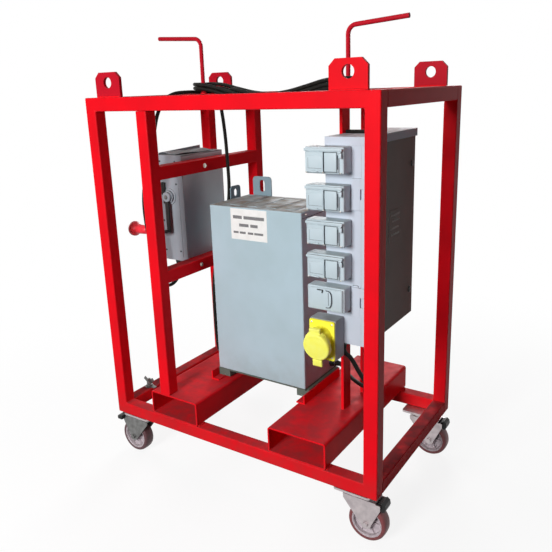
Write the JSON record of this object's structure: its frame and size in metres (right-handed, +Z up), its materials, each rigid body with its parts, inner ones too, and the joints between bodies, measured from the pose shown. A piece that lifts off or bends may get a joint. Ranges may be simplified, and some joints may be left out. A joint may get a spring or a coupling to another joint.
{
  "type": "portable step-down transformer",
  "caption": "Step-down transformer in a wheeled lifting cage with fork pockets, lifting lugs, switch-fuse, outlet enclosure and a hank of supply cable.",
  "frame": {"origin": "on the floor under the middle of the cage's footprint", "axes": "+X across the cage to the outlet side, +Y from the front to the rear, +Z up"},
  "size_m": [1.24, 0.71, 1.717],
  "materials": {
    "red_paint": "gloss",
    "galvanised_steel": "dull zinc",
    "case_paint": "satin, dusty on top",
    "socket_plastic": "satin",
    "enclosure_paint": "satin",
    "switch_paint": "hammered satin",
    "yellow_plastic": "gloss",
    "black_rubber": "matt",
    "black_plastic": "satin",
    "tyre_rubber": "satin",
    "breaker_plastic": "satin"
  },
  "bodies": {
    "cage": {"front_frame": "red_paint", "rear_frame": "red_paint", "left_bottom_rail": "red_paint", "right_bottom_rail": "red_paint", "left_top_rail": "red_paint", "right_top_rail": "red_paint", "left_fork_pocket": "red_paint", "right_fork_pocket": "red_paint", "switch_ladder": "red_paint", "left_hook_rail": "red_paint", "enclosure_stand": "red_paint", "left_cable_hook": "red_paint", "right_cable_hook": "red_paint", "lifting_lug_front_left": "red_paint", "castor_plate_front_left": "galvanised_steel", "lifting_lug_front_right": "red_paint", "castor_plate_front_right": "galvanised_steel", "lifting_lug_rear_left": "red_paint", "castor_plate_rear_left": "galvanised_steel", "lifting_lug_rear_right": "red_paint", "castor_plate_rear_right": "galvanised_steel", "transformer_case": "case_paint", "transformer_base": "case_paint", "transformer_side_lug": "galvanised_steel", "transformer_rear_lug": "galvanised_steel", "enclosure_body": "enclosure_paint", "breaker_row": "breaker_plastic", "switch_body": "switch_paint", "fuse_carriers": "black_plastic", "socket_box_1": "socket_plastic", "socket_box_2": "socket_plastic", "socket_box_3": "socket_plastic", "socket_box_4": "socket_plastic", "spur_box": "socket_plastic", "yellow_back_box": "socket_plastic", "yellow_socket": "yellow_plastic", "supply_cable": "black_rubber", "cable_hank": "black_rubber", "cable_tail": "black_rubber", "transformer_lead": "black_rubber"},
    "fork_front_left": {"castor_fork_front_left": "galvanised_steel"},
    "fork_front_right": {"castor_fork_front_right": "galvanised_steel"},
    "fork_rear_left": {"castor_fork_rear_left": "galvanised_steel"},
    "fork_rear_right": {"castor_fork_rear_right": "galvanised_steel"},
    "wheel_front_left": {"castor_wheel_front_left": "tyre_rubber"},
    "wheel_front_right": {"castor_wheel_front_right": "tyre_rubber"},
    "wheel_rear_left": {"castor_wheel_rear_left": "tyre_rubber"},
    "wheel_rear_right": {"castor_wheel_rear_right": "tyre_rubber"},
    "pedal_front_left": {"brake_pedal_front_left": "black_rubber"},
    "pedal_front_right": {"brake_pedal_front_right": "black_rubber"},
    "pedal_rear_left": {"brake_pedal_rear_left": "black_rubber"},
    "pedal_rear_right": {"brake_pedal_rear_right": "black_rubber"},
    "lid_1": {"socket_lid_1": "socket_plastic"},
    "lid_2": {"socket_lid_2": "socket_plastic"},
    "lid_3": {"socket_lid_3": "socket_plastic"},
    "lid_4": {"socket_lid_4": "socket_plastic"},
    "cap": {"yellow_cap": "yellow_plastic"},
    "box_door": {"enclosure_door": "enclosure_paint"},
    "fuse_door": {"switch_door": "switch_paint"},
    "handle": {"switch_handle": "black_plastic"}
  },
  "joints": [
    {"name": "castor_swivel_front_left", "type": "hinge", "parent": "cage", "child": "fork_front_left", "pos_m": [-0.505, -0.303, 0.16], "axis": [0, 0, 1], "continuous": true},
    {"name": "wheel_spin_front_left", "type": "hinge", "parent": "fork_front_left", "child": "wheel_front_left", "pos_m": [-0.55, -0.303, 0.07], "axis": [0, 1, 0], "continuous": true},
    {"name": "brake_front_left", "type": "hinge", "parent": "fork_front_left", "child": "pedal_front_left", "pos_m": [-0.593, -0.303, 0.15], "axis": [0, -1, 0], "range_deg": [0, 18]},
    {"name": "castor_swivel_front_right", "type": "hinge", "parent": "cage", "child": "fork_front_right", "pos_m": [0.505, -0.303, 0.16], "axis": [0, 0, 1], "continuous": true},
    {"name": "wheel_spin_front_right", "type": "hinge", "parent": "fork_front_right", "child": "wheel_front_right", "pos_m": [0.55, -0.303, 0.07], "axis": [0, 1, 0], "continuous": true},
    {"name": "brake_front_right", "type": "hinge", "parent": "fork_front_right", "child": "pedal_front_right", "pos_m": [0.593, -0.303, 0.15], "axis": [0, 1, 0], "range_deg": [0, 18]},
    {"name": "castor_swivel_rear_left", "type": "hinge", "parent": "cage", "child": "fork_rear_left", "pos_m": [-0.505, 0.303, 0.16], "axis": [0, 0, 1], "continuous": true},
    {"name": "wheel_spin_rear_left", "type": "hinge", "parent": "fork_rear_left", "child": "wheel_rear_left", "pos_m": [-0.55, 0.303, 0.07], "axis": [0, 1, 0], "continuous": true},
    {"name": "brake_rear_left", "type": "hinge", "parent": "fork_rear_left", "child": "pedal_rear_left", "pos_m": [-0.593, 0.303, 0.15], "axis": [0, -1, 0], "range_deg": [0, 18]},
    {"name": "castor_swivel_rear_right", "type": "hinge", "parent": "cage", "child": "fork_rear_right", "pos_m": [0.505, 0.303, 0.16], "axis": [0, 0, 1], "continuous": true},
    {"name": "wheel_spin_rear_right", "type": "hinge", "parent": "fork_rear_right", "child": "wheel_rear_right", "pos_m": [0.55, 0.303, 0.07], "axis": [0, 1, 0], "continuous": true},
    {"name": "brake_rear_right", "type": "hinge", "parent": "fork_rear_right", "child": "pedal_rear_right", "pos_m": [0.593, 0.303, 0.15], "axis": [0, 1, 0], "range_deg": [0, 18]},
    {"name": "socket_lid_hinge_1", "type": "hinge", "parent": "cage", "child": "lid_1", "pos_m": [0.35, -0.2903, 1.3097], "axis": [-1, 0, 0], "range_deg": [0, 105]},
    {"name": "socket_lid_hinge_2", "type": "hinge", "parent": "cage", "child": "lid_2", "pos_m": [0.35, -0.2903, 1.1917], "axis": [-1, 0, 0], "range_deg": [0, 105]},
    {"name": "socket_lid_hinge_3", "type": "hinge", "parent": "cage", "child": "lid_3", "pos_m": [0.35, -0.2903, 1.0797], "axis": [-1, 0, 0], "range_deg": [0, 105]},
    {"name": "socket_lid_hinge_4", "type": "hinge", "parent": "cage", "child": "lid_4", "pos_m": [0.35, -0.2903, 0.9682], "axis": [-1, 0, 0], "range_deg": [0, 105]},
    {"name": "yellow_cap_hinge", "type": "hinge", "parent": "cage", "child": "cap", "pos_m": [0.371, -0.33638, 0.74436], "axis": [-1, 0, 0], "range_deg": [0, 90]},
    {"name": "enclosure_door_hinge", "type": "hinge", "parent": "cage", "child": "box_door", "pos_m": [0.5029, -0.2343, 0.9975], "axis": [0, 0, -1], "range_deg": [0, 110]},
    {"name": "switch_door_hinge", "type": "hinge", "parent": "cage", "child": "fuse_door", "pos_m": [-0.4909, 0.1293, 1.045], "axis": [0, 0, -1], "range_deg": [0, 110]},
    {"name": "switch_handle_hinge", "type": "hinge", "parent": "cage", "child": "handle", "pos_m": [-0.416, -0.145, 1.095], "axis": [0, 1, 0], "range_deg": [0, 80]}
  ]
}
